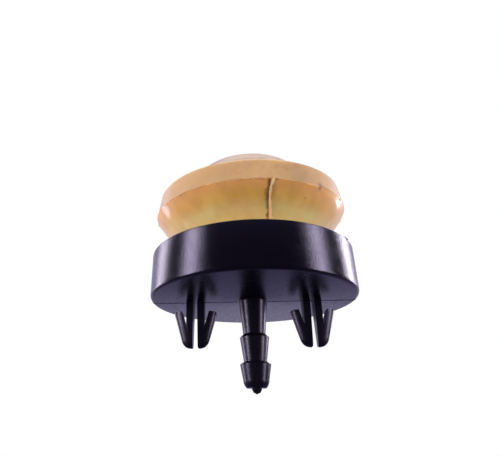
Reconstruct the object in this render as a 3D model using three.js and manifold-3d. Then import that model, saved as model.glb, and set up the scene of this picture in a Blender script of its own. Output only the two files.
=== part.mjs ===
// A snap-in primer bulb: a black moulded base that carries a squeezable rubber bulb.
// Millimetres. The origin is the centre of the base's flat underside, which lies on the
// machine's panel. +Z points up through the bulb, and the two clips stand on the X axis.

import * as THREE from 'three';
import { mergeVertices } from 'three/addons/utils/BufferGeometryUtils.js';
import Module from 'manifold-3d';

// Cup of the base
const cupRadius = 17.5;
const cupHeight = 7.5;
const cupDraft = 0.11;
const cupFootRound = 0.6;
const cupRimRound = 0.25;
const cupWall = 1.6;
const cupFloor = 1.8;
const lipReach = 0.7;
const lipHeight = 1.0;
const lipLeadIn = 0.4;

// Nozzle, from the underside down: a tapered stem and two hose barbs
const boreRadius = 0.8;
const stemRootRadius = 2.4;
const stemEndRadius = 1.85;
const stemLength = 5.6;
const upperBarbRadius = 2.42;
const upperBarbRise = 0.5;
const upperBarbTaper = 3.85;
const upperBarbEndRadius = 1.87;
const lowerBarbRadius = 2.52;
const lowerBarbRise = 0.4;
const lowerBarbTaper = 2.4;
const lowerBarbEndRadius = 2.09;
const nozzleNose = 1.2;
const nozzleTipRadius = 1.6;

// Moulding tag left on the nozzle's end face
const tagWidth = 1.6;
const tagDepth = 0.8;
const tagLength = 0.95;

// Clips: each is a pair of prongs with a slot between them and an arm on each outer side
const clipSpacing = 19.6;
const clipDepth = 3.0;
const clipLength = 7.75;
const clipStemWidth = 3.04;
const clipSlotAtRoot = 0.66;
const clipSlotAtTip = 0.82;
const panelGap = 1.7;
const barbReach = 3.6;
const barbThickness = 1.28;
const barbTopRound = 0.45;
const notchDepth = 4.05;
const notchFlat = 0.06;
const noseHalfWidth = 2.35;
const noseHeight = 1.35;
const noseCornerRound = 0.3;

// Rubber bulb, from the floor of the cup up
const bulbWall = 1.6;
const fitGap = 0.3;
const footRound = 0.4;
const neckRadius = 11.5;
const neckRise = 2.1;
const flareHeight = 5.65;
const flareBulge = 0.42;
const ridgeRadius = 17.0;
const ridgeLand = 0.2;
const collarTopRadius = 16.35;
const collarHeight = 3.95;
const collarTopRound = 0.5;
const domeRadius = 12.05;
const domeHeight = 8.2;

// The bulb sits a little askew: degrees of lean that lift its +X side and its far side
const bulbLeanX = 0.55;
const bulbLeanY = 3.0;

// Facets
const roundSegments = 48;
const clipSegments = 32;
const tagSegments = 16;
const arcSteps = 3;
const curveSteps = 6;
const domeSteps = 9;

// How far a joined piece reaches into the one that carries it
const rootOverlap = 0.5;

const wasm = await Module();
wasm.setup();

const toRadians = THREE.MathUtils.degToRad;

// A quarter turn between two points, bulging towards the corner given
function cornerArc(from, corner, to, steps) {
  const curve = new THREE.QuadraticBezierCurve(
    new THREE.Vector2(...from),
    new THREE.Vector2(...corner),
    new THREE.Vector2(...to),
  );
  return curve.getPoints(steps).map((point) => [point.x, point.y]);
}

// Turns a profile of [radius, height] points round the Z axis
function revolve(profile, segments) {
  const points = profile.map(([radius, height]) => new THREE.Vector2(radius, height));
  return new THREE.LatheGeometry(points, segments).rotateX(Math.PI / 2);
}

// Gives an outline in X and Z a depth along Y, centred on the X axis
function extrudeAlongY(shape, depth) {
  const geometry = new THREE.ExtrudeGeometry(shape, { depth, bevelEnabled: false });
  return geometry.rotateX(Math.PI / 2).translate(0, depth / 2, 0);
}

function toSolid(geometry) {
  geometry.deleteAttribute('normal');
  geometry.deleteAttribute('uv');
  const merged = mergeVertices(geometry);
  return new wasm.Manifold(new wasm.Mesh({
    numProp: 3,
    vertProperties: merged.attributes.position.array,
    triVerts: merged.index.array,
  }));
}

function toGeometry(solid) {
  const mesh = solid.getMesh();
  const geometry = new THREE.BufferGeometry();
  geometry.setAttribute('position', new THREE.BufferAttribute(mesh.vertProperties, 3));
  geometry.setIndex(new THREE.BufferAttribute(mesh.triVerts, 1));
  geometry.computeVertexNormals();
  return geometry;
}

// Heights of the nozzle's steps, each measured down from the underside
const upperBarbHeight = -stemLength - upperBarbRise;
const waistHeight = upperBarbHeight - upperBarbTaper;
const lowerBarbHeight = waistHeight - lowerBarbRise;
const noseStartHeight = lowerBarbHeight - lowerBarbTaper;
const nozzleEndHeight = noseStartHeight - nozzleNose;

// Radii and heights that the base and the bulb share
const rimRadius = cupRadius - cupDraft;
const cupInnerRadius = rimRadius - cupWall;
const lipRadius = cupInnerRadius - lipReach;
const lipUnderside = cupHeight - lipHeight;

function nozzleOutside() {
  const noseCorner = [lowerBarbEndRadius, (noseStartHeight + nozzleEndHeight) / 2];
  const noseEnd = [lowerBarbEndRadius, noseStartHeight];
  return [
    ...cornerArc([nozzleTipRadius, nozzleEndHeight], noseCorner, noseEnd, arcSteps),
    [lowerBarbRadius, lowerBarbHeight],
    [upperBarbEndRadius, waistHeight],
    [upperBarbRadius, upperBarbHeight],
    [stemEndRadius, -stemLength],
    [stemRootRadius, 0],
  ];
}

function cupOutside() {
  const footCorner = [cupRadius, 0];
  const footStart = [cupRadius - cupFootRound, 0];
  const footEnd = [cupRadius, cupFootRound];
  const rimCorner = [rimRadius, cupHeight];
  const rimStart = [rimRadius, cupHeight - cupRimRound];
  const rimEnd = [rimRadius - cupRimRound, cupHeight];
  return [
    ...cornerArc(footStart, footCorner, footEnd, arcSteps),
    ...cornerArc(rimStart, rimCorner, rimEnd, arcSteps),
  ];
}

function cupInside() {
  return [
    [lipRadius + lipLeadIn, cupHeight],
    [lipRadius, lipUnderside + lipHeight / 2],
    [lipRadius, lipUnderside],
    [cupInnerRadius, lipUnderside],
    [cupInnerRadius, cupFloor],
    [boreRadius, cupFloor],
  ];
}

function cupAndNozzle() {
  const boreEnd = [boreRadius, nozzleEndHeight];
  const profile = [boreEnd, ...nozzleOutside(), ...cupOutside(), ...cupInside(), boreEnd];
  return toSolid(revolve(profile, roundSegments));
}

// The clip's nose: its flat end runs in one curve into the outer face of the arm
const clipNoseFlat = [clipSlotAtTip / 2 + noseCornerRound, -clipLength];
const clipNoseTop = [noseHalfWidth, -clipLength + noseHeight];
const clipArmTop = [barbReach, -panelGap - barbTopRound];
const clipArmSlope = (clipArmTop[0] - clipNoseTop[0]) / (clipArmTop[1] - clipNoseTop[1]);
const clipNoseCorner = [noseHalfWidth - clipArmSlope * noseHeight, -clipLength];

// One prong with its arm. side is 1 for the prong towards +X and -1 for the other
function prongOutline(side) {
  const stem = clipStemWidth / 2;
  const slotTip = clipSlotAtTip / 2;
  const outline = [
    [clipSlotAtRoot / 2, rootOverlap],
    ...cornerArc([slotTip, -clipLength + noseCornerRound], [slotTip, -clipLength], clipNoseFlat, arcSteps),
    ...cornerArc(clipNoseFlat, clipNoseCorner, clipNoseTop, curveSteps).slice(1),
    ...cornerArc(clipArmTop, [barbReach, -panelGap], [barbReach - barbTopRound, -panelGap], arcSteps),
    [barbReach - barbThickness, -panelGap],
    [stem + notchFlat, -notchDepth],
    [stem, -notchDepth],
    [stem, rootOverlap],
  ];
  return new THREE.Shape(outline.map(([across, height]) => new THREE.Vector2(side * across, height)));
}

// Oval body that rounds the clip's faces: as wide as the arms, and as deep as clipDepth
function clipEnvelope() {
  const profile = [
    [0, -clipLength],
    ...cornerArc(clipNoseFlat, clipNoseCorner, clipNoseTop, curveSteps),
    clipArmTop,
    [barbReach, rootOverlap],
    [0, rootOverlap],
  ];
  const geometry = revolve(profile, clipSegments);
  geometry.scale(1, clipDepth / (2 * barbReach), 1);
  return toSolid(geometry);
}

function clip() {
  const prongs = [1, -1].map((side) => toSolid(extrudeAlongY(prongOutline(side), clipDepth)));
  return prongs[0].add(prongs[1]).intersect(clipEnvelope());
}

// A torn rounded nub on the side of the end face that is nearest -Y
function mouldingTag() {
  const ringMiddle = (boreRadius + nozzleTipRadius) / 2;
  const geometry = new THREE.SphereGeometry(1, tagSegments, tagSegments / 2);
  geometry.scale(tagWidth / 2, tagDepth / 2, tagLength);
  geometry.translate(0, -ringMiddle, nozzleEndHeight);
  return toSolid(geometry);
}

function baseGeometry() {
  let solid = cupAndNozzle().add(mouldingTag());
  for (const side of [-1, 1]) {
    solid = solid.add(clip().translate([side * clipSpacing / 2, 0, 0]));
  }
  return toGeometry(solid);
}

// Heights of the bulb's steps
const footTop = lipUnderside - fitGap;
const flareStart = cupHeight + neckRise;
const ridgeHeight = flareStart + flareHeight;
const shoulderHeight = ridgeHeight + collarHeight;

// The bulb's outer form from the neck to the dome's top, before its edges are rounded
function bulbForm() {
  const run = ridgeRadius - neckRadius;
  const chord = Math.hypot(run, flareHeight);
  const push = 2 * flareBulge / chord;
  const bow = [
    neckRadius + run / 2 + push * flareHeight,
    flareStart + flareHeight / 2 - push * run,
  ];
  const flare = cornerArc([neckRadius, flareStart], bow, [ridgeRadius, ridgeHeight], curveSteps);
  const dome = [];
  for (let step = 0; step <= domeSteps; step += 1) {
    const angle = (step / domeSteps) * (Math.PI / 2);
    dome.push([domeRadius * Math.cos(angle), shoulderHeight + domeHeight * Math.sin(angle)]);
  }
  dome[domeSteps][0] = 0;
  return { flare, collarTop: [collarTopRadius, shoulderHeight], dome };
}

// Moves a path of points sideways by one wall, into the hollow of the bulb
function innerPath(path, wall) {
  const directions = path.slice(1).map(([radius, height], index) => {
    const step = new THREE.Vector2(radius - path[index][0], height - path[index][1]);
    return step.normalize();
  });
  return path.map(([radius, height], index) => {
    const before = directions[Math.max(index - 1, 0)];
    const after = directions[Math.min(index, directions.length - 1)];
    const reach = wall / (1 + before.dot(after));
    return [radius - reach * (before.y + after.y), height + reach * (before.x + after.x)];
  });
}

function bulbOutside({ flare, collarTop, dome }) {
  const footRadius = cupInnerRadius - fitGap;
  const lowerEdge = [footRadius, cupFloor];
  const lowerStart = [footRadius - footRound, cupFloor];
  const lowerEnd = [footRadius, cupFloor + footRound];
  const upperEdge = [footRadius, footTop];
  const upperStart = [footRadius, footTop - footRound];
  const upperEnd = [footRadius - footRound, footTop];
  const neckFoot = [neckRadius, footTop];
  const neckStart = [neckRadius + footRound, footTop];
  const neckEnd = [neckRadius, footTop + footRound];
  const ridge = flare[flare.length - 1];
  return [
    ...cornerArc(lowerStart, lowerEdge, lowerEnd, arcSteps),
    ...cornerArc(upperStart, upperEdge, upperEnd, arcSteps),
    ...cornerArc(neckStart, neckFoot, neckEnd, arcSteps),
    ...flare.slice(0, -1),
    [ridge[0], ridge[1] - ridgeLand / 2],
    [ridge[0], ridge[1] + ridgeLand / 2],
    ...cornerArc(
      [collarTopRadius, shoulderHeight - collarTopRound],
      collarTop,
      [collarTopRadius - collarTopRound, shoulderHeight],
      arcSteps,
    ),
    ...dome,
  ];
}

// The hollow starts on the axis under the dome and ends at the open foot
function bulbInside({ flare, collarTop, dome }) {
  const path = [[neckRadius, cupFloor], ...flare, collarTop, ...dome];
  const inside = innerPath(path, bulbWall).reverse();
  inside[0] = [0, shoulderHeight + domeHeight - bulbWall];
  return inside;
}

// Tips everything above the cup by the lean, and leaves the seated foot level
function leanBulb(geometry) {
  const position = geometry.attributes.position;
  const slopeX = Math.tan(toRadians(bulbLeanX));
  const slopeY = Math.tan(toRadians(bulbLeanY));
  for (let index = 0; index < position.count; index += 1) {
    const height = position.getZ(index);
    const share = THREE.MathUtils.clamp((height - cupHeight) / (ridgeHeight - cupHeight), 0, 1);
    const lift = slopeX * position.getX(index) + slopeY * position.getY(index);
    position.setZ(index, height + share * lift);
  }
  return geometry;
}

function bulbGeometry() {
  const form = bulbForm();
  const geometry = revolve([...bulbInside(form), ...bulbOutside(form)], roundSegments);
  return toGeometry(toSolid(leanBulb(geometry)));
}

const blackPlastic = new THREE.MeshStandardMaterial({ color: 0x17151d, roughness: 0.35, metalness: 0 });
const amberRubber = new THREE.MeshStandardMaterial({ color: 0xd9a862, roughness: 0.45, metalness: 0 });

const base = new THREE.Mesh(baseGeometry(), blackPlastic);
base.name = 'base';

const rubberBulb = new THREE.Mesh(bulbGeometry(), amberRubber);
rubberBulb.name = 'rubber_bulb';

const primerBulb = new THREE.Group();
primerBulb.add(base, rubberBulb);

export default primerBulb;
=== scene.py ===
"""Builds a snap-in primer bulb: a black barbed base with two split clips, and an amber rubber bulb."""

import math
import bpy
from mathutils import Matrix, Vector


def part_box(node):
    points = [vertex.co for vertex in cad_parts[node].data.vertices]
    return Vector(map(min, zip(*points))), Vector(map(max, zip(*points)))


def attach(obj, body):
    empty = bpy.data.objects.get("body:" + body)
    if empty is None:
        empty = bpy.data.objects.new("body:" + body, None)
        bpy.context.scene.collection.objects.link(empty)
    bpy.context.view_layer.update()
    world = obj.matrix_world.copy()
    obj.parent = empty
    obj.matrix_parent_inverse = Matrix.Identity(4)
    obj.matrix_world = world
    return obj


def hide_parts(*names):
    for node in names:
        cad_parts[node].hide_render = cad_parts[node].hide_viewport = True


bl_info = {
    "name": "Primer bulb",
    "version": (1, 0, 0),
    "blender": (4, 5, 0),
    "location": "View3D > Sidebar > Primer bulb",
    "description": "Builds a snap-in primer bulb piece by piece, and the studio that it is shown in",
    "category": "Add Mesh",
}

import bmesh
import bpy
from bpy.props import FloatProperty, FloatVectorProperty, IntProperty, PointerProperty
from mathutils import Matrix, Vector

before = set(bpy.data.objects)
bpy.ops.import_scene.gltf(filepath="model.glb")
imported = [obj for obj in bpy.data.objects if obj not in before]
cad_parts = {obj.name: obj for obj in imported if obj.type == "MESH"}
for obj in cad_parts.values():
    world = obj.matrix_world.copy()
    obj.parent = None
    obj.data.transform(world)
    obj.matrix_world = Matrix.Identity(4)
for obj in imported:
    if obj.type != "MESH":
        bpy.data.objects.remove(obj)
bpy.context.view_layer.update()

BASE_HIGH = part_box("base")[1]
BODY = "root"
MM = 0.001
WELD = 0.001 * MM
SMOOTH_ANGLE = math.radians(32)


class BaseSizes(bpy.types.PropertyGroup):
    """Sizes of the black base: its cup, its barbed nozzle and the marks of its mould"""

    cup_radius: FloatProperty(
        name="Cup radius", description="Radius of the cup just above its foot",
        default=BASE_HIGH.x, unit="LENGTH",
    )
    cup_height: FloatProperty(
        name="Cup height", description="Height of the cup's rim above the underside",
        default=BASE_HIGH.z, unit="LENGTH",
    )
    cup_draft: FloatProperty(
        name="Cup draft", description="How much narrower the cup is at its rim",
        default=0.11 * MM, unit="LENGTH",
    )
    foot_round: FloatProperty(
        name="Foot round", description="Rounding between the underside and the wall",
        default=0.6 * MM, unit="LENGTH",
    )
    rim_round: FloatProperty(
        name="Rim round", description="Rounding of the rim's outer edge",
        default=0.25 * MM, unit="LENGTH",
    )
    wall: FloatProperty(
        name="Cup wall", description="Thickness of the cup's wall at the rim",
        default=1.6 * MM, unit="LENGTH",
    )
    floor: FloatProperty(
        name="Cup floor", description="Thickness of the cup's floor",
        default=1.8 * MM, unit="LENGTH",
    )
    lip_reach: FloatProperty(
        name="Lip reach", description="How far the snap lip stands in from the wall",
        default=0.7 * MM, unit="LENGTH",
    )
    lip_height: FloatProperty(
        name="Lip height", description="Height of the snap lip under the rim",
        default=1.0 * MM, unit="LENGTH",
    )
    nozzle_length: FloatProperty(
        name="Nozzle length", description="Length of the nozzle below the underside",
        default=13.95 * MM, unit="LENGTH",
    )
    bore: FloatProperty(
        name="Bore radius", description="Radius of the hole through the nozzle",
        default=0.8 * MM, unit="LENGTH",
    )
    stem_root: FloatProperty(
        name="Stem root", description="Radius of the nozzle where it leaves the underside",
        default=2.4 * MM, unit="LENGTH",
    )
    stem_end: FloatProperty(
        name="Stem end", description="Radius of the nozzle just above its first barb",
        default=1.85 * MM, unit="LENGTH",
    )
    stem_length: FloatProperty(
        name="Stem length", description="Length of the plain part of the nozzle",
        default=5.6 * MM, unit="LENGTH",
    )
    upper_barb: FloatProperty(
        name="Upper barb", description="Largest radius of the first barb",
        default=2.42 * MM, unit="LENGTH",
    )
    waist: FloatProperty(
        name="Waist", description="Radius between the two barbs",
        default=1.87 * MM, unit="LENGTH",
    )
    lower_barb: FloatProperty(
        name="Lower barb", description="Largest radius of the second barb",
        default=2.52 * MM, unit="LENGTH",
    )
    nose: FloatProperty(
        name="Nose", description="Radius of the nozzle above its rounded end",
        default=2.09 * MM, unit="LENGTH",
    )
    tip: FloatProperty(
        name="Tip", description="Outer radius of the nozzle's end face",
        default=1.6 * MM, unit="LENGTH",
    )
    line_offset: FloatProperty(
        name="Witness line", description="How far behind the nozzle's axis the mould's halves meet",
        default=0.18 * MM, unit="LENGTH",
    )


class ClipSizes(bpy.types.PropertyGroup):
    """Sizes of the two split snap clips"""

    spacing: FloatProperty(
        name="Spacing", description="Distance between the two clips",
        default=19.6 * MM, unit="LENGTH",
    )
    length: FloatProperty(
        name="Length", description="Length of a clip below the underside",
        default=7.75 * MM, unit="LENGTH",
    )
    depth: FloatProperty(
        name="Depth", description="Depth of a clip from front to back",
        default=3.0 * MM, unit="LENGTH",
    )
    reach: FloatProperty(
        name="Reach", description="How far each arm reaches from the clip's middle",
        default=3.6 * MM, unit="LENGTH",
    )
    stem: FloatProperty(
        name="Stem width", description="Width of the split stem",
        default=3.04 * MM, unit="LENGTH",
    )
    slot_root: FloatProperty(
        name="Slot at the root", description="Width of the slot where the clip leaves the underside",
        default=0.66 * MM, unit="LENGTH",
    )
    slot_tip: FloatProperty(
        name="Slot at the tip", description="Width of the slot at the clip's nose",
        default=0.82 * MM, unit="LENGTH",
    )
    panel_gap: FloatProperty(
        name="Panel gap", description="Gap between the underside and the arms, which takes the panel",
        default=1.7 * MM, unit="LENGTH",
    )


class BulbSizes(bpy.types.PropertyGroup):
    """Sizes of the amber rubber bulb"""

    top: FloatProperty(
        name="Top", description="Height of the dome's top above the underside",
        default=27.4 * MM, unit="LENGTH",
    )
    dome_radius: FloatProperty(
        name="Dome radius", description="Radius of the dome where it leaves the shoulder",
        default=12.05 * MM, unit="LENGTH",
    )
    dome_height: FloatProperty(
        name="Dome height", description="Height of the dome above the shoulder",
        default=8.2 * MM, unit="LENGTH",
    )
    collar_radius: FloatProperty(
        name="Collar radius", description="Radius of the collar at the shoulder",
        default=16.35 * MM, unit="LENGTH",
    )
    collar_height: FloatProperty(
        name="Collar height", description="Height of the collar between the ridge and the shoulder",
        default=3.95 * MM, unit="LENGTH",
    )
    ridge_radius: FloatProperty(
        name="Ridge radius", description="Radius of the ridge where the mould's halves meet",
        default=17.0 * MM, unit="LENGTH",
    )
    neck_radius: FloatProperty(
        name="Neck radius", description="Radius of the neck inside the cup",
        default=11.5 * MM, unit="LENGTH",
    )
    flare_height: FloatProperty(
        name="Flare height", description="Height of the flare between the neck and the ridge",
        default=5.65 * MM, unit="LENGTH",
    )
    flare_bulge: FloatProperty(
        name="Flare bulge", description="How far the flare bows out from a straight cone",
        default=0.42 * MM, unit="LENGTH",
    )
    wall: FloatProperty(
        name="Wall", description="Thickness of the rubber",
        default=1.6 * MM, unit="LENGTH",
    )
    flash: FloatProperty(
        name="Flash", description="How far the thin flash stands out along the ridge",
        default=0.02 * MM, unit="LENGTH",
    )
    rib_width: FloatProperty(
        name="Rib width", description="Width of the raised line down the flare",
        default=0.5 * MM, unit="LENGTH",
    )
    lean_x: FloatProperty(
        name="Lean along X", description="How far the pressed-in bulb tips up towards +X",
        default=math.radians(0.55), subtype="ANGLE",
    )
    lean_y: FloatProperty(
        name="Lean along Y", description="How far the pressed-in bulb tips up towards +Y",
        default=math.radians(3.0), subtype="ANGLE",
    )


class Finishes(bpy.types.PropertyGroup):
    """Colours of the two mouldings; the rubber's colours by height carry painted light and shade"""

    plastic: FloatVectorProperty(
        name="Black plastic", description="Colour of the base", subtype="COLOR",
        default=(0.0035, 0.0028, 0.0065), min=0.0, max=1.0,
    )
    plastic_sheen: FloatVectorProperty(
        name="Plastic gloss", description="Tint of the base's gloss", subtype="COLOR",
        default=(0.86, 0.82, 1.0), min=0.0, max=1.0,
    )
    # The rubber colours are one amber rubber painted by height: bright near the cup as painted light
    # through the thin flare, deeper under the ridge as painted shade, paler on the collar and darker on
    # the dome as painted lighting
    rubber_rim: FloatVectorProperty(
        name="Thin flare rubber", description="Colour of the bulb's flare near the cup", subtype="COLOR",
        default=(1.0, 0.72, 0.32), min=0.0, max=1.0,
    )
    rubber_gold: FloatVectorProperty(
        name="Golden flare rubber", description="Colour half-way up the bulb's flare", subtype="COLOR",
        default=(0.96, 0.545, 0.135), min=0.0, max=1.0,
    )
    rubber_low: FloatVectorProperty(
        name="Flare rubber", description="Colour of the bulb's flare under the ridge", subtype="COLOR",
        default=(0.82, 0.455, 0.165), min=0.0, max=1.0,
    )
    rubber_middle: FloatVectorProperty(
        name="Collar rubber", description="Colour of the bulb's collar", subtype="COLOR",
        default=(0.65, 0.42, 0.175), min=0.0, max=1.0,
    )
    rubber_high: FloatVectorProperty(
        name="Dome rubber", description="Colour of the bulb's dome", subtype="COLOR",
        default=(0.49, 0.35, 0.21), min=0.0, max=1.0,
    )


class StageSettings(bpy.types.PropertyGroup):
    """The studio: its floor and its lamps"""

    floor_drop: FloatProperty(
        name="Floor drop", description="How far the floor lies below the underside",
        default=45 * MM, unit="LENGTH",
    )
    floor_radius: FloatProperty(
        name="Floor radius", description="Radius of the floor",
        default=300 * MM, unit="LENGTH",
    )
    lamp_distance: FloatProperty(
        name="Lamp distance", description="Distance of the strip lamps from the bulb",
        default=260 * MM, unit="LENGTH",
    )
    turned_segments: IntProperty(
        name="Segments", description="Faces round each turned piece", default=192, min=24, max=512,
    )


# Geometry helpers

def quarter(start, corner, end, steps):
    """Points of a smooth turn from start to end that leans towards the corner, both ends included"""
    points = []
    for step in range(steps + 1):
        share = step / steps
        radius = (1 - share) ** 2 * start[0] + 2 * share * (1 - share) * corner[0] + share ** 2 * end[0]
        height = (1 - share) ** 2 * start[1] + 2 * share * (1 - share) * corner[1] + share ** 2 * end[1]
        points.append((radius, height))
    return points


def filleted(corners, steps=5):
    """Turns corners of (radius, height, rounding) into a path of points with each corner rounded"""
    path = []
    for index, (radius, height, rounding) in enumerate(corners):
        here = Vector((radius, height))
        if rounding == 0 or index in (0, len(corners) - 1):
            path.append((radius, height))
            continue
        before = Vector(corners[index - 1][:2]) - here
        after = Vector(corners[index + 1][:2]) - here
        start = here + before.normalized() * min(rounding, before.length * 0.45)
        end = here + after.normalized() * min(rounding, after.length * 0.45)
        path.extend(quarter(start, here, end, steps))
    return path


def inner_path(path, wall):
    """Moves a path sideways by one wall, into the hollow of the bulb"""
    steps = [(Vector(path[i + 1]) - Vector(path[i])).normalized() for i in range(len(path) - 1)]
    moved = []
    for index, (radius, height) in enumerate(path):
        before = steps[max(index - 1, 0)]
        after = steps[min(index, len(steps) - 1)]
        reach = wall / (1 + before.dot(after))
        moved.append((radius - reach * (before.y + after.y), height + reach * (before.x + after.x)))
    return moved


def outward(mesh):
    """Merges doubles, turns every face outwards and shades the mesh smooth except at its edges"""
    shape = bmesh.new()
    shape.from_mesh(mesh)
    bmesh.ops.remove_doubles(shape, verts=shape.verts, dist=WELD)
    bmesh.ops.dissolve_degenerate(shape, edges=shape.edges, dist=WELD)
    bmesh.ops.recalc_face_normals(shape, faces=shape.faces)
    for face in shape.faces:
        face.smooth = True
    shape.to_mesh(mesh)
    shape.free()
    mesh.set_sharp_from_angle(angle=SMOOTH_ANGLE)
    return mesh


def new_object(name, data):
    """Puts an object with the given mesh, lamp or camera in the scene"""
    made = bpy.data.objects.new(name, data)
    bpy.context.scene.collection.objects.link(made)
    return made


def place(name, mesh, node=None):
    """Puts a finished mesh in the scene as a piece of the part"""
    piece = new_object(name, mesh)
    mesh.name = name
    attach(piece, BODY)
    if node:
        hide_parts(node)
    return piece


def finished(shape, name):
    """Turns an edited shape into a mesh"""
    mesh = bpy.data.meshes.new(name)
    shape.to_mesh(mesh)
    shape.free()
    return mesh


def line_source(name, points):
    """A scratch object that holds a line through the points"""
    mesh = bpy.data.meshes.new(name)
    mesh.from_pydata(points, [(i, i + 1) for i in range(len(points) - 1)], [])
    return new_object(name, mesh)


def evaluated_mesh(source):
    """The mesh of an object once its modifiers have run"""
    graph = bpy.context.evaluated_depsgraph_get()
    graph.update()
    return bpy.data.meshes.new_from_object(source.evaluated_get(graph), depsgraph=graph)


def grow(source, tree, values):
    """Runs a geometry tree on a scratch object, and gives back the plain mesh that it makes"""
    modifier = source.modifiers.new(tree.name, "NODES")
    modifier.node_group = tree
    for item in tree.interface.items_tree:
        if item.in_out == "INPUT" and item.name in values:
            modifier[item.identifier] = values[item.name]
    mesh = evaluated_mesh(source)
    source.modifiers.remove(modifier)
    bpy.data.objects.remove(source)
    return mesh


def shared_tree(name, make):
    """A tree by its name, made when it is first asked for"""
    return bpy.data.node_groups.get(name) or make()


def place_grown(name, points, tree, values):
    """Puts a piece in the scene that a tree makes from a row of points"""
    source = line_source(name + "_points", points)
    return place(name, outward(grow(source, tree, values)))


# Node helpers

def fill(tree, node, inputs):
    """Links or sets the inputs of a node, which are given by name or number"""
    for key, value in inputs.items():
        if isinstance(value, bpy.types.NodeSocket):
            tree.links.new(value, node.inputs[key])
        else:
            node.inputs[key].default_value = value


def add_node(tree, kind, inputs=None, **settings):
    """Adds a node, sets it up and fills its inputs"""
    made = tree.nodes.new(kind)
    for name, value in settings.items():
        setattr(made, name, value)
    fill(tree, made, inputs or {})
    return made


def maths(tree, operation, first, second=0.0):
    """One step of arithmetic in a tree"""
    return add_node(tree, "ShaderNodeMath", {0: first, 1: second}, operation=operation).outputs[0]


def plus(tree, first, second):
    """The sum of two values"""
    return maths(tree, "ADD", first, second)


def times(tree, first, *others):
    """The product of two or more values"""
    for other in others:
        first = maths(tree, "MULTIPLY", first, other)
    return first


def largest(tree, first, *others):
    """The largest of two or more values"""
    for other in others:
        first = maths(tree, "MAXIMUM", first, other)
    return first


def vector(tree, x, y=0.0, z=0.0):
    """A vector made of its three parts"""
    return add_node(tree, "ShaderNodeCombineXYZ", {0: x, 1: y, 2: z}).outputs[0]


def parts(tree, whole):
    """The X, Y and Z of a vector"""
    return add_node(tree, "ShaderNodeSeparateXYZ", {0: whole}).outputs


def ramp(tree, value, start, end, low=0.0, high=1.0):
    """Carries a value from one range over to another, and holds it there at both ends"""
    inputs = {"Value": value, "From Min": start, "From Max": end, "To Min": low, "To Max": high}
    return add_node(tree, "ShaderNodeMapRange", inputs).outputs[0]


def noise(tree, place_on, scale, detail=2.0):
    """Soft random cloud between 0 and 1"""
    inputs = {"Vector": place_on, "Scale": scale, "Detail": detail}
    return add_node(tree, "ShaderNodeTexNoise", inputs).outputs[0]


def seeded_noise(tree, place_on, scale, seed):
    """Soft random cloud that its seed changes, as a value and as a colour"""
    inputs = {"Vector": place_on, "W": seed, "Scale": scale, "Detail": 3.0}
    return add_node(tree, "ShaderNodeTexNoise", inputs, noise_dimensions="4D").outputs


def blend(tree, share, first, second, how="MIX"):
    """Mixes two colours"""
    inputs = {0: share, 6: first, 7: second}
    return add_node(tree, "ShaderNodeMix", inputs, data_type="RGBA", blend_type=how).outputs[2]


def new_tree(name, sockets):
    """An empty geometry tree: geometry in and out, the named inputs and a material"""
    tree = bpy.data.node_groups.new(name, "GeometryNodeTree")
    tree.interface.new_socket("Geometry", in_out="OUTPUT", socket_type="NodeSocketGeometry")
    for label, kind in {"Geometry": "Geometry", **sockets, "Material": "Material"}.items():
        tree.interface.new_socket(label, in_out="INPUT", socket_type="NodeSocket" + kind)
    return tree, tree.nodes.new("NodeGroupInput").outputs


def end_tree(tree, geometry, material):
    """Ends a geometry tree: real geometry, smooth faces and one material"""
    real = add_node(tree, "GeometryNodeRealizeInstances", {"Geometry": geometry})
    smooth = add_node(tree, "GeometryNodeSetShadeSmooth", {"Geometry": real.outputs[0]})
    finished = add_node(
        tree, "GeometryNodeSetMaterial", {"Geometry": smooth.outputs[0], "Material": material}
    )
    add_node(tree, "NodeGroupOutput", {0: finished.outputs[0]})


def turned_form_tree():
    """Turns a path of points round the Z axis, tips it by its lean and roughens its flash"""
    tree, given = new_tree("turned_form", {
        "Segments": "Int", "Slope X": "Float", "Slope Y": "Float", "Lean Start": "Float",
        "Lean End": "Float", "Flash From": "Float", "Flash Change": "Float", "Seed": "Float",
    })
    count = add_node(
        tree, "GeometryNodeAttributeDomainSize", {"Geometry": given["Geometry"]}, component="MESH"
    ).outputs["Point Count"]
    columns = plus(tree, given["Segments"], 1.0)
    grid = add_node(tree, "GeometryNodeMeshGrid", {"Vertices X": columns, "Vertices Y": count})
    index = add_node(tree, "GeometryNodeInputIndex").outputs[0]
    step = maths(tree, "FLOOR", maths(tree, "DIVIDE", index, count))
    along = maths(tree, "MODULO", index, count)
    path_point = add_node(
        tree, "GeometryNodeSampleIndex",
        {0: given["Geometry"], 1: add_node(tree, "GeometryNodeInputPosition").outputs[0], 2: along},
        data_type="FLOAT_VECTOR", domain="POINT",
    ).outputs[0]
    path = parts(tree, path_point)
    turn = times(tree, maths(tree, "DIVIDE", step, given["Segments"]), 2 * math.pi)
    cosine = maths(tree, "COSINE", turn)
    sine = maths(tree, "SINE", turn)

    rough = seeded_noise(tree, vector(tree, cosine, sine), 14.0, given["Seed"])[0]
    on_flash = maths(tree, "GREATER_THAN", path["X"], given["Flash From"])
    wobble = times(tree, maths(tree, "SUBTRACT", rough, 0.5), given["Flash Change"])
    radius = plus(tree, path["X"], times(tree, wobble, on_flash))

    x = times(tree, radius, cosine)
    y = times(tree, radius, sine)
    lift = plus(tree, times(tree, x, given["Slope X"]), times(tree, y, given["Slope Y"]))
    share = ramp(tree, path["Z"], given["Lean Start"], given["Lean End"])
    spot = vector(tree, x, y, plus(tree, path["Z"], times(tree, lift, share)))
    turned = add_node(tree, "GeometryNodeSetPosition", {"Geometry": grid.outputs[0], "Position": spot})
    closed = add_node(
        tree, "GeometryNodeMergeByDistance", {"Geometry": turned.outputs[0], "Distance": WELD}
    )
    end_tree(tree, closed.outputs[0], given["Material"])
    return tree


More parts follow.
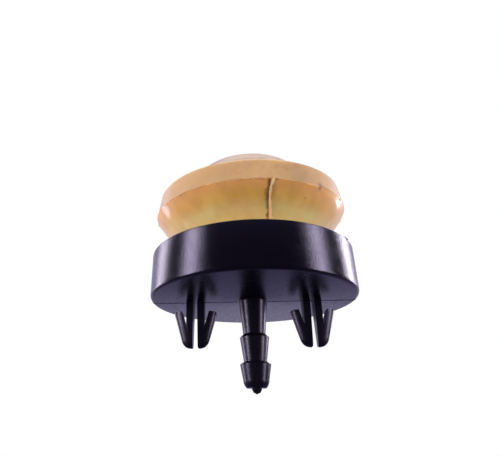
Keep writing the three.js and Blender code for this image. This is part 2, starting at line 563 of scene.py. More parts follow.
def turned_mesh(name, path, values):
    """A plain closed mesh of a path turned round the Z axis"""
    source = line_source(name + "_path", [(radius, 0.0, height) for radius, height in path])
    settings = {
        "Segments": bpy.context.scene.primer_stage.turned_segments,
        "Slope X": 0.0, "Slope Y": 0.0, "Lean Start": 0.0, "Lean End": 1.0,
        "Flash From": 1.0, "Flash Change": 0.0, "Seed": 4.0, **values,
    }
    return outward(grow(source, shared_tree("turned_form", turned_form_tree), settings))


def raised_seam_tree():
    """A ragged raised line along a path, as flash leaves where two parts of a mould meet"""
    tree, given = new_tree("raised_seam", {
        "Steps": "Int", "Width": "Float", "Raggedness": "Float", "Seed": "Float",
    })
    curve = add_node(tree, "GeometryNodeMeshToCurve", {"Mesh": given["Geometry"]})
    fine = add_node(
        tree, "GeometryNodeResampleCurve", {"Curve": curve.outputs[0], "Count": given["Steps"]}
    )
    position = add_node(tree, "GeometryNodeInputPosition").outputs[0]
    rough = seeded_noise(tree, position, 1100.0, given["Seed"])
    centred = add_node(
        tree, "ShaderNodeVectorMath", {0: rough[1], 1: (0.5, 0.5, 0.5)}, operation="SUBTRACT"
    )
    reach = times(tree, given["Width"], given["Raggedness"])
    shift = add_node(
        tree, "ShaderNodeVectorMath", {0: centred.outputs[0], "Scale": reach}, operation="SCALE"
    )
    moved = add_node(
        tree, "GeometryNodeSetPosition", {"Geometry": fine.outputs[0], "Offset": shift.outputs[0]}
    )
    profile = add_node(
        tree, "GeometryNodeCurvePrimitiveCircle",
        {"Resolution": 8, "Radius": times(tree, given["Width"], 0.5)},
    )
    tube = add_node(tree, "GeometryNodeCurveToMesh", {
        "Curve": moved.outputs[0],
        "Profile Curve": profile.outputs[0],
        "Scale": ramp(tree, rough[0], 0.35, 0.65, 0.6, 1.35),
        "Fill Caps": True,
    })
    end_tree(tree, tube.outputs[0], given["Material"])
    return tree


def burrs_tree():
    """Sets a small uneven speck on each point, turned and stretched at random"""
    tree, given = new_tree("burrs", {"Size": "Float", "Seed": "Int"})
    speck = add_node(
        tree, "GeometryNodeMeshIcoSphere", {"Radius": given["Size"], "Subdivisions": 2}
    )
    turn = add_node(
        tree, "FunctionNodeRandomValue", {0: (0, 0, 0), 1: (6.28, 6.28, 6.28), "Seed": given["Seed"]},
        data_type="FLOAT_VECTOR",
    )
    stretch = add_node(
        tree, "FunctionNodeRandomValue", {0: (0.5, 0.5, 0.5), 1: (1.5, 1.5, 1.5), "Seed": given["Seed"]},
        data_type="FLOAT_VECTOR",
    )
    copies = add_node(tree, "GeometryNodeInstanceOnPoints", {
        "Points": given["Geometry"],
        "Instance": speck.outputs[0],
        "Rotation": turn.outputs[0],
        "Scale": stretch.outputs[0],
    })
    end_tree(tree, copies.outputs[0], given["Material"])
    return tree


def pair_tree():
    """Sets two copies of a piece on the X axis, one each side of the middle"""
    tree, given = new_tree("clip_pair", {"Spacing": "Float"})
    start = vector(tree, times(tree, given["Spacing"], -0.5))
    step = vector(tree, given["Spacing"])
    line = add_node(
        tree, "GeometryNodeMeshLine", {"Count": 2, "Start Location": start, "Offset": step},
        mode="OFFSET",
    )
    copies = add_node(
        tree, "GeometryNodeInstanceOnPoints",
        {"Points": line.outputs[0], "Instance": given["Geometry"]},
    )
    end_tree(tree, copies.outputs[0], given["Material"])
    return tree


# Materials

# Turns are in degrees from the front towards +X
RIB_TURN = 10.6
RIB_SWEEP = 4.2
RIB_BEND = 22.0
NICK_TURN = 40.0
DOT_TURN = 32.8
DOT_SHARE = 0.64
LEFT_RUN_TURN = -42.0
MIDDLE_RUN_TURN = 7.0
SMUDGE_TURN = 15.0
DIRT_TURN = 12.0
STEP_HEIGHT = 0.4 * MM
STEP_EASE = 90.0
# Dark brown of the dirt and of the painted shadow and shade on the rubber
DIRT_AND_SHADE_BROWN = (0.30, 0.13, 0.04, 1)
# Paler ambers of the flash: the raised fin's painted highlight
PAINTED_FLASH_HIGHLIGHT_PALE = (0.95, 0.66, 0.33, 1)
PAINTED_FLASH_HIGHLIGHT_DEEP = (0.86, 0.57, 0.27, 1)
# Paler black of the underside's far half: painted reflection
UNDERSIDE_PAINTED_REFLECTION = (0.016, 0.013, 0.030, 1)


def new_material(name):
    """An empty material with its surface shader"""
    material = bpy.data.materials.new(name)
    material.use_nodes = True
    return material, material.node_tree, material.node_tree.nodes["Principled BSDF"]


def on_object(tree):
    """Where a point lies on its own object"""
    return add_node(tree, "ShaderNodeTexCoord").outputs["Object"]


def bump(tree, height, strength, distance):
    """A surface that follows the height given"""
    inputs = {"Height": height, "Strength": strength, "Distance": distance}
    return add_node(tree, "ShaderNodeBump", inputs).outputs[0]


def black_plastic():
    """Black moulded plastic: fine grain, uneven gloss, and an underside in two halves of the mould, its
    far half painted paler as painted reflection
    """
    known = bpy.data.materials.get("black_plastic_moulding")
    if known:
        return known
    colours = bpy.context.scene.primer_finishes
    material, tree, shader = new_material("black_plastic_moulding")
    place_on = on_object(tree)
    axes = parts(tree, place_on)

    patches = noise(tree, place_on, 900.0, 3.0)
    duller = ramp(tree, axes["Z"], 0.4 * MM, -0.4 * MM, 0.0, 0.14)
    seam = bpy.context.scene.primer_base.line_offset
    far_half = ramp(tree, axes["Y"], seam - 0.06 * MM, seam + 0.06 * MM)
    on_underside = maths(tree, "LESS_THAN", axes["Z"], 0.02 * MM)
    # Painted reflection: the far half of the underside gets a paler base colour
    painted_reflection_share = times(tree, far_half, on_underside)
    strength = ramp(tree, axes["Z"], -0.3 * MM, 0.3 * MM, 0.15, 0.8)
    fill(tree, shader, {
        "Base Color": blend(tree, painted_reflection_share, (*colours.plastic, 1), UNDERSIDE_PAINTED_REFLECTION),
        "Roughness": plus(tree, ramp(tree, patches, 0.3, 0.7, 0.14, 0.21), duller),
        "Normal": bump(tree, noise(tree, place_on, 4800.0), strength, 0.04 * MM),
        "Specular Tint": (*colours.plastic_sheen, 1),
        "IOR": 1.5,
    })
    return material


def paler_flash_painted_highlight():
    """The duller rubber of the thin flash, painted paler than the bulb as a painted highlight"""
    known = bpy.data.materials.get("flash_rubber_with_painted_highlight")
    if known:
        return known
    material, tree, shader = new_material("flash_rubber_with_painted_highlight")
    clouds = noise(tree, on_object(tree), 1500.0, 3.0)
    fill(tree, shader, {
        "Base Color": blend(tree, ramp(tree, clouds, 0.35, 0.65), PAINTED_FLASH_HIGHLIGHT_PALE, PAINTED_FLASH_HIGHLIGHT_DEEP),
        "Roughness": ramp(tree, clouds, 0.3, 0.7, 0.3, 0.5),
        "Subsurface Weight": 1.0,
        "Subsurface Radius": (1.0, 0.6, 0.3),
        "Subsurface Scale": 0.6 * MM,
        "IOR": 1.45,
    })
    return material


def near(tree, value, middle, inside, outside):
    """1 within the inner distance of the middle, and 0 beyond the outer one"""
    away = maths(tree, "ABSOLUTE", maths(tree, "SUBTRACT", value, middle))
    return ramp(tree, away, outside, inside)


def rubber_dirt_and_painted_shade(tree, place_on, turn, share, level, ridge):
    """How dark the rubber is painted: painted shadow beside the mould's rib, painted shade along the ridge
    and in a nick, and dirt in a dot and in specks on the band
    """
    rest = maths(tree, "POWER", maths(tree, "SUBTRACT", 1.0, share), 3.0)
    rib = plus(tree, times(tree, rest, RIB_SWEEP), RIB_TURN)
    beside = maths(tree, "SUBTRACT", turn, rib)
    ragged = ramp(tree, noise(tree, place_on, 900.0, 3.0), 0.35, 0.65, 1.5, 3.0)
    # Painted shadow of the rib: ragged, on its left side and under the ridge
    left = ramp(tree, plus(tree, beside, ragged), -0.9, 1.0)
    under_ridge = ramp(tree, level, ridge + 0.05 * MM, ridge - 0.1 * MM)
    left_painted_shadow = times(tree, left, ramp(tree, beside, 0.3, -0.6), under_ridge, 0.95)
    # Painted shade right of the rib, towards its top
    right = times(tree, ramp(tree, beside, 0.2, 0.7), ramp(tree, beside, 4.0, 0.9))
    right_shade = times(tree, right, ramp(tree, share, 0.45, 0.9, 0.05, 0.55), under_ridge)

    # Painted shade along the ridge, in patches and in two runs
    patches = ramp(tree, noise(tree, place_on, 260.0), 0.50, 0.62, 0.1, 0.7)
    left_run = near(tree, turn, LEFT_RUN_TURN, 16.0, 20.0)
    middle_run = near(tree, turn, MIDDLE_RUN_TURN, 7.0, 10.0)
    run = largest(tree, patches, left_run, middle_run)
    wave = ramp(tree, noise(tree, place_on, 1400.0, 3.0), 0.35, 0.65, -0.12 * MM, 0.12 * MM)
    on_ridge = near(tree, plus(tree, level, wave), ridge - 0.1 * MM, 0.1 * MM, 0.24 * MM)
    ridge_painted_shade = times(tree, on_ridge, run, 0.5)

    # Dirt: specks and a smudge on the band above the ridge
    specks = ramp(tree, noise(tree, place_on, 600.0, 5.0), 0.48, 0.72)
    above = ramp(tree, level, ridge, ridge + 0.2 * MM)
    smudge_height = ramp(tree, level, ridge + 1.6 * MM, ridge + 0.3 * MM)
    smudge = times(tree, near(tree, turn, SMUDGE_TURN, 1.0, 5.0), smudge_height)
    spread = largest(tree, smudge, near(tree, turn, DIRT_TURN, 14.0, 32.0))
    band_dirt = times(tree, specks, spread, above, 0.3)

    # Painted shade in the nick, and a dirt dot
    nick_height = near(tree, level, ridge + 0.1 * MM, 0.35 * MM, 0.8 * MM)
    nick = times(tree, near(tree, turn, NICK_TURN, 0.9, 1.7), nick_height)
    dot = times(tree, near(tree, turn, DOT_TURN, 0.2, 0.5), near(tree, share, DOT_SHARE, 0.01, 0.035))
    shaded_nick_and_dirt_dot = times(tree, largest(tree, nick, dot), 0.8)
    return largest(tree, left_painted_shadow, right_shade, ridge_painted_shade, shaded_nick_and_dirt_dot, band_dirt)


def amber_rubber():
    """Translucent amber rubber, faintly mottled, its colour ramped by height as painted light and shade:
    deeper on the flare, paler on the collar and dome
    """
    known = bpy.data.materials.get("amber_rubber_moulding")
    if known:
        return known
    colours = bpy.context.scene.primer_finishes
    sizes = bpy.context.scene.primer_bulb
    material, tree, shader = new_material("amber_rubber_moulding")
    place_on = on_object(tree)
    axes = parts(tree, place_on)
    shoulder, ridge, flare_start = bulb_levels(sizes)
    cup_height = bpy.context.scene.primer_base.cup_height
    lift_x = times(tree, axes["X"], math.tan(sizes.lean_x))
    lift_y = times(tree, axes["Y"], math.tan(sizes.lean_y))
    leaned = times(tree, plus(tree, lift_x, lift_y), ramp(tree, axes["Z"], cup_height, ridge))
    level = maths(tree, "SUBTRACT", axes["Z"], leaned)
    turn = maths(tree, "DEGREES", maths(tree, "ARCTAN2", axes["X"], times(tree, axes["Y"], -1.0)))
    share = ramp(tree, level, flare_start, ridge)

    # Painted light and shade: one rubber ramped by height, bright near the cup as light shining through
    # the thin flare, deeper under the ridge, paler on the collar and dome
    colour = (*colours.rubber_rim, 1)
    for tint, height, start, end in (
        (colours.rubber_gold, share, 0.3, 0.6),
        (colours.rubber_low, share, 0.6, 0.95),
        (colours.rubber_middle, level, ridge - 0.1 * MM, ridge + 0.1 * MM),
        (colours.rubber_high, level, shoulder, shoulder + 1.2 * MM),
    ):
        colour = blend(tree, ramp(tree, height, start, end), colour, (*tint, 1))
    clouds = noise(tree, place_on, 190.0, 4.0)
    around = vector(tree, times(tree, turn, 0.03), times(tree, share, 0.6))
    flow = noise(tree, around, 4.0, 3.0)
    below = ramp(tree, level, ridge, ridge - 0.3 * MM)
    streaks = times(tree, ramp(tree, flow, 0.3, 0.7, -0.08, 0.06), below)
    shade = plus(tree, ramp(tree, clouds, 0.3, 0.7, 0.90, 1.08), streaks)
    mottled = blend(tree, 1.0, colour, shade, "MULTIPLY")
    # Dirt and painted shade over the mottled colour
    dirt_and_painted_shade = rubber_dirt_and_painted_shade(tree, place_on, turn, share, level, ridge)
    fill(tree, shader, {
        "Base Color": blend(tree, dirt_and_painted_shade, mottled, DIRT_AND_SHADE_BROWN),
        "Roughness": ramp(tree, clouds, 0.3, 0.7, 0.32, 0.44),
        "Normal": bump(tree, noise(tree, place_on, 1300.0, 3.0), 0.2, 0.03 * MM),
        "Subsurface Weight": 1.0,
        "Subsurface Radius": (1.0, 0.8, 0.5),
        "Subsurface Scale": 2.8 * MM,
        "IOR": 1.5,
        "Specular Tint": (1.0, 0.88, 0.66, 1),
        "Sheen Weight": 0.4,
        "Sheen Roughness": 0.4,
        "Sheen Tint": (1.0, 0.84, 0.55, 1),
        "Coat Weight": 0.5,
        "Coat Roughness": 0.08,
        "Coat Tint": (1.0, 0.97, 0.90, 1),
    })
    return material


# Pieces of the base

def base_path(sizes):
    """The base in section, as one loop: bore, end face, barbs, underside, cup wall, lip and floor"""
    end = -sizes.nozzle_length
    nose_start = end + 1.2 * MM
    lower_barb = end + 3.6 * MM
    waist = end + 4.0 * MM
    upper_barb = -sizes.stem_length - 0.5 * MM
    rim = sizes.cup_radius - sizes.cup_draft
    inside = rim - sizes.wall
    lip = inside - sizes.lip_reach
    lip_under = sizes.cup_height - sizes.lip_height
    nose = quarter((sizes.tip, end), (sizes.nose, (end + nose_start) / 2), (sizes.nose, nose_start), 8)
    corners = [
        (sizes.bore, end, 0),
        *[(radius, height, 0) for radius, height in nose],
        (sizes.lower_barb, lower_barb, 0.08 * MM),
        (sizes.waist, waist, 0.06 * MM),
        (sizes.upper_barb, upper_barb, 0.08 * MM),
        (sizes.stem_end, -sizes.stem_length, 0.08 * MM),
        (sizes.stem_root, 0, 0.2 * MM),
        (sizes.cup_radius, 0, sizes.foot_round),
        (rim, sizes.cup_height, sizes.rim_round),
        (lip + 0.4 * MM, sizes.cup_height, 0.08 * MM),
        (lip, lip_under + sizes.lip_height / 2, 0.1 * MM),
        (lip, lip_under, 0.05 * MM),
        (inside, lip_under, 0.1 * MM),
        (inside, sizes.floor, 0.3 * MM),
        (sizes.bore, sizes.floor, 0.05 * MM),
        (sizes.bore, end, 0),
    ]
    return filleted(corners)


def build_base():
    """The cup and its barbed nozzle, one turned moulding"""
    sizes = bpy.context.scene.primer_base
    mesh = turned_mesh("base_moulding", base_path(sizes), {"Material": black_plastic()})
    return place("base_moulding", mesh, "base")


TAG_REACH = Vector((0.8, 0.4, 0.95)) * MM


def build_tag():
    """The torn nub on the nozzle's end face"""
    sizes = bpy.context.scene.primer_base
    middle = Vector((0, -(sizes.bore + sizes.tip) / 2, -sizes.nozzle_length))
    shape = bmesh.new()
    bmesh.ops.create_icosphere(shape, subdivisions=4, radius=1)
    for vert in shape.verts:
        ragged = 1 + 0.05 * math.sin(9 * vert.co.x + 2) * math.cos(7 * vert.co.z)
        vert.co = middle + vert.co * TAG_REACH * ragged
    mesh = finished(shape, "moulding_tag")
    mesh.materials.append(black_plastic())
    return place("moulding_tag", outward(mesh))


RIM_BURRS = (57.0, 59.0, 118.0, 171.0, -147.0)


def build_parting_line():
    """The thin line where the mould's halves met: up one wall, across the underside, up the other"""
    sizes = bpy.context.scene.primer_base
    rim = (sizes.cup_radius - sizes.cup_draft, sizes.cup_height - sizes.rim_round)
    start = (sizes.cup_radius, sizes.foot_round)
    end = (sizes.cup_radius - sizes.foot_round, 0)
    side = [rim, *quarter(start, (sizes.cup_radius, 0), end, 6)]
    right = [(radius, sizes.line_offset, height) for radius, height in side]
    left = [(-x, y, z) for x, y, z in reversed(right)]
    return place_grown(
        "parting_line", right + left, shared_tree("raised_seam", raised_seam_tree),
        {"Steps": 400, "Width": 0.09 * MM, "Raggedness": 0.25, "Seed": 8.0, "Material": black_plastic()},
    )


def build_rim_burrs():
    """Small burrs round the cup's rim"""
    sizes = bpy.context.scene.primer_base
    radius = sizes.cup_radius - sizes.cup_draft - 0.08 * MM
    height = sizes.cup_height - 0.06 * MM
    points = []
    for turn in RIM_BURRS:
        angle = math.radians(turn)
        points.append((radius * math.sin(angle), -radius * math.cos(angle), height))
    for side in (-1, 1):
        points.append((side * radius, sizes.line_offset, sizes.cup_height * 0.55))
    values = {"Size": 0.19 * MM, "Seed": 2, "Material": black_plastic()}
    return place_grown("rim_burrs", points, shared_tree("burrs", burrs_tree), values)


# The snap clips

CLIP_ROOT = 0.4 * MM
ARM_CORNER = 0.45 * MM


def clip_nose(sizes):
    """Where the nose's flat end, its corner and the top of its curve lie"""
    flat = (sizes.slot_tip / 2 + 0.3 * MM, -sizes.length)
    top = (2.35 * MM, -sizes.length + 1.35 * MM)
    arm_top = (sizes.reach, -sizes.panel_gap - ARM_CORNER)
    slope = (arm_top[0] - top[0]) / (arm_top[1] - top[1])
    corner = (top[0] - slope * (top[1] - flat[1]), -sizes.length)
    return flat, corner, top, arm_top


def prong_outline(sizes, side):
    """One half of a clip in X and Z: split stem, nose, sloping arm and the notch behind it"""
    flat, corner, top, arm_top = clip_nose(sizes)
    stem = sizes.stem / 2
    slot_tip = sizes.slot_tip / 2
    gap = -sizes.panel_gap
    arm_width = 1.28 * MM
    notch_end = -4.05 * MM
    points = [
        (sizes.slot_root / 2, CLIP_ROOT),
        *quarter((slot_tip, -sizes.length + 0.3 * MM), (slot_tip, -sizes.length), flat, 6),
        *quarter(flat, corner, top, 12)[1:],
        *quarter(arm_top, (sizes.reach, gap), (sizes.reach - ARM_CORNER, gap), 6),
        (sizes.reach - arm_width, gap),
        (stem + 0.06 * MM, notch_end),
        (stem, notch_end),
        (stem, CLIP_ROOT),
    ]
    return [(side * across, height) for across, height in points]


def prism(name, outline, depth):
    """A solid with the given outline in X and Z, as deep as given along Y, built in millimetres"""
    shape = bmesh.new()
    front = [shape.verts.new((x / MM, -depth / 2 / MM, z / MM)) for x, z in outline]
    face = shape.faces.new(front)
    grown = bmesh.ops.extrude_face_region(shape, geom=[face])
    moved = [item for item in grown["geom"] if isinstance(item, bmesh.types.BMVert)]
    bmesh.ops.translate(shape, verts=moved, vec=(0, depth / MM, 0))
    bmesh.ops.recalc_face_normals(shape, faces=shape.faces)
    return finished(shape, name)


def clip_envelope(sizes, segments=96):
    """The oval body that a clip's faces follow, built in millimetres"""
    flat, corner, top, arm_top = clip_nose(sizes)
    path = [
        (0, -sizes.length), *quarter(flat, corner, top, 12), arm_top, (sizes.reach, CLIP_ROOT),
        (0, CLIP_ROOT),
    ]
    shape = bmesh.new()
    verts = [shape.verts.new((radius / MM, 0, height / MM)) for radius, height in path]
    edges = [shape.edges.new(pair) for pair in zip(verts, verts[1:])]
    bmesh.ops.spin(
        shape, geom=verts + edges, cent=(0, 0, 0), axis=(0, 0, 1), angle=2 * math.pi, steps=segments,
    )
    bmesh.ops.remove_doubles(shape, verts=shape.verts, dist=1e-5)
    bmesh.ops.scale(shape, vec=(1, sizes.depth / (2 * sizes.reach), 1), verts=shape.verts)
    bmesh.ops.recalc_face_normals(shape, faces=shape.faces)
    return finished(shape, "clip_envelope")


def one_clip(sizes):
    """One split clip at the middle: both prongs cut to the oval body, with softened edges"""
    envelope = new_object("clip_envelope", clip_envelope(sizes))
    shape = bmesh.new()
    for side in (-1, 1):
        prong = new_object("clip_prong", prism("clip_prong", prong_outline(sizes, side), sizes.depth))
        cut = prong.modifiers.new("oval", "BOOLEAN")
        cut.operation = "INTERSECT"
        cut.solver = "EXACT"
        cut.object = envelope
        soften = prong.modifiers.new("soft_edges", "BEVEL")
        soften.width = 0.07
        soften.segments = 2
        soften.limit_method = "ANGLE"
        soften.angle_limit = math.radians(35)
        shape.from_mesh(evaluated_mesh(prong))
        bpy.data.objects.remove(prong)
    bpy.data.objects.remove(envelope)
    bmesh.ops.transform(shape, matrix=Matrix.Scale(MM, 4), verts=shape.verts)
    return finished(shape, "snap_clip")


def build_clips():
    """The two split snap clips"""
    sizes = bpy.context.scene.primer_clips
    source = new_object("snap_clip", one_clip(sizes))
    values = {"Spacing": sizes.spacing, "Material": black_plastic()}
    mesh = grow(source, pair_tree(), values)
    return place("snap_clips", outward(mesh), "base")


# The rubber bulb

def bulb_levels(sizes):
    """Heights of the shoulder, of the ridge and of the place where the flare starts"""
    shoulder = sizes.top - sizes.dome_height
    ridge = shoulder - sizes.collar_height
    return shoulder, ridge, ridge - sizes.flare_height


def flare_line(sizes, steps):
    """The flare in section, from the neck up to the ridge"""
    ridge, flare_start = bulb_levels(sizes)[1:]
    run = sizes.ridge_radius - sizes.neck_radius
    push = 2 * sizes.flare_bulge / math.hypot(run, sizes.flare_height)
    bow = (
        sizes.neck_radius + run / 2 + push * sizes.flare_height,
        flare_start + sizes.flare_height / 2 - push * run,
    )
    return quarter((sizes.neck_radius, flare_start), bow, (sizes.ridge_radius, ridge), steps)


def on_bulb(radius, height, turn):
    """A point of the leaning bulb, at a turn in degrees from the front towards +X"""
    sizes = bpy.context.scene.primer_bulb
    cup_height = bpy.context.scene.primer_base.cup_height
    ridge = bulb_levels(sizes)[1]
    x = radius * math.sin(math.radians(turn))
    y = -radius * math.cos(math.radians(turn))
    share = min(max((height - cup_height) / (ridge - cup_height), 0), 1)
    lift = x * math.tan(sizes.lean_x) + y * math.tan(sizes.lean_y)
    return (x, y, height + share * lift)


def bulb_path(sizes, base):
    """The bulb in section: hollow from the top down, foot, neck, flare, ridge, collar and dome"""
    shoulder, ridge = bulb_levels(sizes)[:2]
    foot_radius = base.cup_radius - base.cup_draft - base.wall - 0.3 * MM
    foot_top = base.cup_height - base.lip_height - 0.3 * MM
    flare = flare_line(sizes, 14)
    dome = []
    for step in range(25):
        angle = math.pi / 2 * step / 24
        dome.append((sizes.dome_radius * math.cos(angle), shoulder + sizes.dome_height * math.sin(angle)))
    dome[-1] = (0, sizes.top)

    hollow = inner_path(
        [(sizes.neck_radius, base.floor), *flare, (sizes.collar_radius, shoulder), *dome], sizes.wall
    )
    hollow.reverse()
    hollow[0] = (0, sizes.top - sizes.wall)
    fin = sizes.ridge_radius + sizes.flash
    thin = 0.05 * MM
    corners = [
        (sizes.neck_radius - sizes.wall, base.floor, 0),
        (foot_radius, base.floor, 0.4 * MM),
        (foot_radius, foot_top, 0.4 * MM),
        (sizes.neck_radius, foot_top, 0.4 * MM),
        *[(radius, height, 0) for radius, height in flare[:-1]],
        (sizes.ridge_radius - 0.03 * MM, ridge - 0.12 * MM, 0),
        (fin, ridge - thin, 0),
        (fin, ridge + thin, 0),
        (sizes.ridge_radius - 0.03 * MM, ridge + 0.16 * MM, 0),
        (sizes.collar_radius, shoulder, 0.5 * MM),
        (sizes.dome_radius, shoulder, 0.15 * MM),
        *[(radius, height, 0) for radius, height in dome[1:]],
    ]
    return hollow[:-1] + filleted(corners)


def build_bulb():
    """The rubber bulb, one turned moulding that leans a little in its cup"""
    sizes = bpy.context.scene.primer_bulb
    base = bpy.context.scene.primer_base
    mesh = turned_mesh("rubber_moulding", bulb_path(sizes, base), {
        "Slope X": math.tan(sizes.lean_x),
        "Slope Y": math.tan(sizes.lean_y),
        "Lean Start": base.cup_height,
        "Lean End": bulb_levels(sizes)[1],
        "Flash From": sizes.ridge_radius + 0.01 * MM,
        "Flash Change": 0.1 * MM,
        "Material": amber_rubber(),
    })
    raise_ridge(mesh)
    return place("rubber_moulding", mesh, "rubber_bulb")


RIDGE_BURRS = (-37.0, -33.25, -27.25, -2.75, 13.5)
GOLDEN_TURN = 137.5


def raise_ridge(mesh):
    """Steps the ridge up at its nick, and eases it down again over a quarter turn"""
    sizes = bpy.context.scene.primer_bulb
    for vert in mesh.vertices:
        radius = math.hypot(vert.co.x, vert.co.y)
        past = math.degrees(math.atan2(vert.co.x, -vert.co.y)) - NICK_TURN
        if radius > sizes.ridge_radius - 0.1 * MM and 0 < past < STEP_EASE:
            vert.co.z += STEP_HEIGHT * min(past / 0.8, 1) * (1 - past / STEP_EASE)


def build_rib():
    """The raised line that runs down the flare, with flash along it"""
    sizes = bpy.context.scene.primer_bulb
    flare_start = bulb_levels(sizes)[2]
    points = []
    for radius, height in flare_line(sizes, 24):
        share = (height - flare_start) / sizes.flare_height
        turn = RIB_TURN + RIB_SWEEP * (1 - share) ** 3 + RIB_BEND * max(0, share - 0.75) ** 2
        points.append(on_bulb(radius, height, turn))
    return place_grown(
        "mould_rib", points, shared_tree("raised_seam", raised_seam_tree),
        {"Steps": 90, "Width": sizes.rib_width, "Raggedness": 1.1, "Seed": 3.0, "Material": paler_flash_painted_highlight()},
    )


def build_ridge_burrs():
    """Small burrs of flash along the ridge"""
    sizes = bpy.context.scene.primer_bulb
    ridge = bulb_levels(sizes)[1]
    turns = [*RIDGE_BURRS, *(60 + number * GOLDEN_TURN % 240 for number in range(14))]
    points = [on_bulb(sizes.ridge_radius, ridge - 0.03 * MM, turn) for turn in turns]
    values = {"Size": 0.13 * MM, "Seed": 5, "Material": amber_rubber()}
    return place_grown("ridge_burrs", points, shared_tree("burrs", burrs_tree), values)


# The studio

CAMERA_PLACE = Vector((-2.147, -72.651, -18.936)) * MM
CAMERA_RISE = math.radians(24.51)
CAMERA_TURN = math.radians(4.34)
PHOTO_WIDTH = 500
PHOTO_HEIGHT = 456
FOCAL_PIXELS = 428.7
AXIS_PIXEL = (208.4, 227.4)
SENSOR = 36.0
# Each strip: name, turn in degrees from the camera, width, height, height of its middle, radiance
STRIP_LAMPS = (
    ("left_strip", -71.5, 58 * MM, 300 * MM, 36 * MM, 13.5),
    ("right_strip", 68.0, 58 * MM, 300 * MM, 36 * MM, 11.5),
    ("left_edge_strip", -120, 66 * MM, 300 * MM, 36 * MM, 7.0),
    ("right_edge_strip", 117, 54 * MM, 190 * MM, 90 * MM, 12.0),
)
STRIP_TINT = (0.90, 0.83, 1.0)
DIM_TINT = (0.55, 0.48, 1.0, 1)
SOFT_WHITE = (0.78, 0.73, 1.0, 1)
WHITE = (1, 1, 1, 1)
FLOOR_NEAR = (0.02, 0.017, 0.036, 1)
FLOOR_FAR = (0.13, 0.115, 0.21, 1)
SWEEP_TINT = (0.66, 0.60, 1.0, 1)


def build_floor(stage):
    """A floor that is dark under the part and fades into the white of the backdrop behind it"""
    shape = bmesh.new()
    bmesh.ops.create_circle(shape, cap_ends=True, radius=stage.floor_radius, segments=96)
    bmesh.ops.translate(shape, verts=shape.verts, vec=(0, 0, -stage.floor_drop))
    mesh = finished(shape, "studio_floor")
    material, tree, shader = new_material("studio_floor_paint")
    place_on = on_object(tree)
    flat = add_node(tree, "ShaderNodeVectorMath", {0: place_on, 1: (1, 1, 0)}, operation="MULTIPLY")
    away = add_node(tree, "ShaderNodeVectorMath", {0: flat.outputs[0]}, operation="LENGTH")
    edge = stage.floor_radius
    fade = ramp(tree, away.outputs["Value"], 0.45 * edge, 0.95 * edge)
    depth = parts(tree, place_on)["Y"]
    sweep = ramp(tree, depth, 45 * MM, 260 * MM, 0.0, 0.68)
    paint = blend(tree, ramp(tree, depth, -50 * MM, 45 * MM), FLOOR_NEAR, FLOOR_FAR)
    fill(tree, shader, {"Base Color": paint, "Roughness": 0.9, "Specular IOR Level": 0.1})
    rays = add_node(tree, "ShaderNodeLightPath").outputs
    shown = times(tree, rays["Is Camera Ray"], largest(tree, fade, 0.75))
    paper = add_node(tree, "ShaderNodeEmission", {"Color": SWEEP_TINT, "Strength": 1.0})
    lit = add_node(tree, "ShaderNodeMixShader", {0: sweep, 1: shader.outputs[0], 2: paper.outputs[0]})
    white = add_node(tree, "ShaderNodeEmission", {"Color": WHITE, "Strength": 1.0})
    mixed = add_node(tree, "ShaderNodeMixShader", {0: shown, 1: lit.outputs[0], 2: white.outputs[0]})
    fill(tree, tree.nodes["Material Output"], {"Surface": mixed.outputs[0]})
    mesh.materials.append(material)
    floor = new_object("studio_floor", mesh)


def build_world():
    """White behind the part, dim in front of it, and white wherever the camera looks"""
    world = bpy.data.worlds.new("studio_world")
    world.use_nodes = True
    tree = world.node_tree
    direction = add_node(tree, "ShaderNodeTexCoord").outputs["Generated"]
    back = Vector((-math.sin(CAMERA_TURN), math.cos(CAMERA_TURN), 0))
    facing = add_node(
        tree, "ShaderNodeVectorMath", {0: direction, 1: back}, operation="DOT_PRODUCT"
    ).outputs["Value"]
    behind = ramp(tree, facing, 0.53, 0.64)
    above = ramp(tree, parts(tree, direction)["Z"], 0.42, 0.75)
    pale = largest(tree, behind, times(tree, above, 0.55))
    rays = add_node(tree, "ShaderNodeLightPath").outputs
    mirrored = largest(tree, rays["Is Glossy Ray"], rays["Is Transmission Ray"])
    level = largest(tree, ramp(tree, pale, 0.0, 1.0, 0.03, 0.7), times(tree, mirrored, pale, 0.8))
    studio = blend(tree, pale, DIM_TINT, SOFT_WHITE)
    fill(tree, tree.nodes["Background"], {
        "Strength": largest(tree, level, rays["Is Camera Ray"]),
        "Color": blend(tree, rays["Is Camera Ray"], studio, WHITE),
    })
    bpy.context.scene.world = world


def aim(source, target):
    """Turns a lamp so that it shines at the target"""
    source.rotation_mode = "QUATERNION"
    source.rotation_quaternion = (target - source.location).to_track_quat("-Z", "Y")


def add_lamp(name, location, target, width, height, radiance, colour=(1, 1, 1)):
    """A flat lamp whose face is as bright as the radiance given"""
    light = bpy.data.lights.new(name, "AREA")
    light.shape = "RECTANGLE"
    light.size = width
    light.size_y = height
    light.energy = radiance * math.pi * width * height
    light.color = colour
    lamp = new_object(name, light)
    lamp.location = location
    aim(lamp, target)
    return lamp


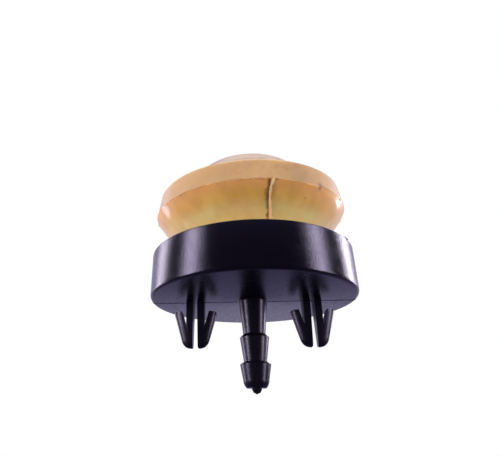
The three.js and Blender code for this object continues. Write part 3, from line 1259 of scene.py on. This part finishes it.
def build_lamps(stage):
    """Tall soft strips round the part, one large soft lamp over it and a fill lamp in front of it"""
    middle = Vector((0, 0, 5 * MM))
    for name, azimuth, width, height, rise, radiance in STRIP_LAMPS:
        turn = math.radians(azimuth) + CAMERA_TURN
        place_of_lamp = Vector((math.sin(turn), -math.cos(turn), 0)) * stage.lamp_distance
        place_of_lamp.z = rise
        add_lamp(name, place_of_lamp, middle, width, height, radiance, STRIP_TINT)
    over = Vector((0, 20 * MM, 330 * MM))
    add_lamp("overhead_softbox", over, middle, 260 * MM, 260 * MM, 1.2)
    front = Vector((-10 * MM, -230 * MM, 0))
    fill = add_lamp("front_fill", front, middle, 200 * MM, 80 * MM, 4.6)
    fill.visible_glossy = False
    fill.visible_camera = False


def build_camera():
    """The camera, at the place and with the lens that the photograph was taken with"""
    camera = bpy.data.cameras.new("photo_camera")
    camera.sensor_width = SENSOR
    camera.lens = FOCAL_PIXELS * SENSOR / PHOTO_WIDTH
    camera.shift_x = (PHOTO_WIDTH / 2 - AXIS_PIXEL[0]) / PHOTO_WIDTH
    camera.shift_y = (AXIS_PIXEL[1] - PHOTO_HEIGHT / 2) / PHOTO_WIDTH
    camera.clip_start = 1 * MM
    holder = new_object("photo_camera", camera)
    holder.location = CAMERA_PLACE
    holder.rotation_euler = (math.pi / 2 + CAMERA_RISE, 0, CAMERA_TURN)
    bpy.context.scene.camera = holder


class PRIMER_OT_base(bpy.types.Operator):
    """Builds the black cup with its barbed nozzle"""

    bl_idname = "primer.base"
    bl_label = "Base moulding"

    def execute(self, context):
        build_base()
        build_tag()
        build_parting_line()
        build_rim_burrs()
        return {"FINISHED"}


class PRIMER_OT_clips(bpy.types.Operator):
    """Builds the two split snap clips"""

    bl_idname = "primer.clips"
    bl_label = "Snap clips"

    def execute(self, context):
        build_clips()
        return {"FINISHED"}


class PRIMER_OT_bulb(bpy.types.Operator):
    """Builds the amber rubber bulb"""

    bl_idname = "primer.bulb"
    bl_label = "Rubber bulb"

    def execute(self, context):
        build_bulb()
        build_rib()
        build_ridge_burrs()
        return {"FINISHED"}


class PRIMER_OT_stage(bpy.types.Operator):
    """Builds the floor, the world, the lamps and the camera"""

    bl_idname = "primer.stage"
    bl_label = "Studio"

    def execute(self, context):
        stage = context.scene.primer_stage
        build_floor(stage)
        build_world()
        build_lamps(stage)
        build_camera()
        context.scene.view_settings.view_transform = "Standard"
        return {"FINISHED"}


class PRIMER_PT_panel(bpy.types.Panel):
    """Lists the steps that build the primer bulb"""

    bl_idname = "PRIMER_PT_panel"
    bl_label = "Primer bulb"
    bl_space_type = "VIEW_3D"
    bl_region_type = "UI"
    bl_category = "Primer bulb"

    def draw(self, context):
        for step in STEPS:
            self.layout.operator(step.bl_idname)


STEPS = (PRIMER_OT_base, PRIMER_OT_clips, PRIMER_OT_bulb, PRIMER_OT_stage)
GROUPS = (
    ("primer_base", BaseSizes),
    ("primer_clips", ClipSizes),
    ("primer_bulb", BulbSizes),
    ("primer_finishes", Finishes),
    ("primer_stage", StageSettings),
)


def register():
    for name, group in GROUPS:
        bpy.utils.register_class(group)
        setattr(bpy.types.Scene, name, PointerProperty(type=group))
    for step in STEPS:
        bpy.utils.register_class(step)
    bpy.utils.register_class(PRIMER_PT_panel)


def unregister():
    bpy.utils.unregister_class(PRIMER_PT_panel)
    for step in reversed(STEPS):
        bpy.utils.unregister_class(step)
    for name, group in reversed(GROUPS):
        delattr(bpy.types.Scene, name)
        bpy.utils.unregister_class(group)


def main():
    register()
    bpy.ops.primer.base()
    bpy.ops.primer.clips()
    bpy.ops.primer.bulb()
    bpy.ops.primer.stage()


if __name__ == "__main__":
    main()
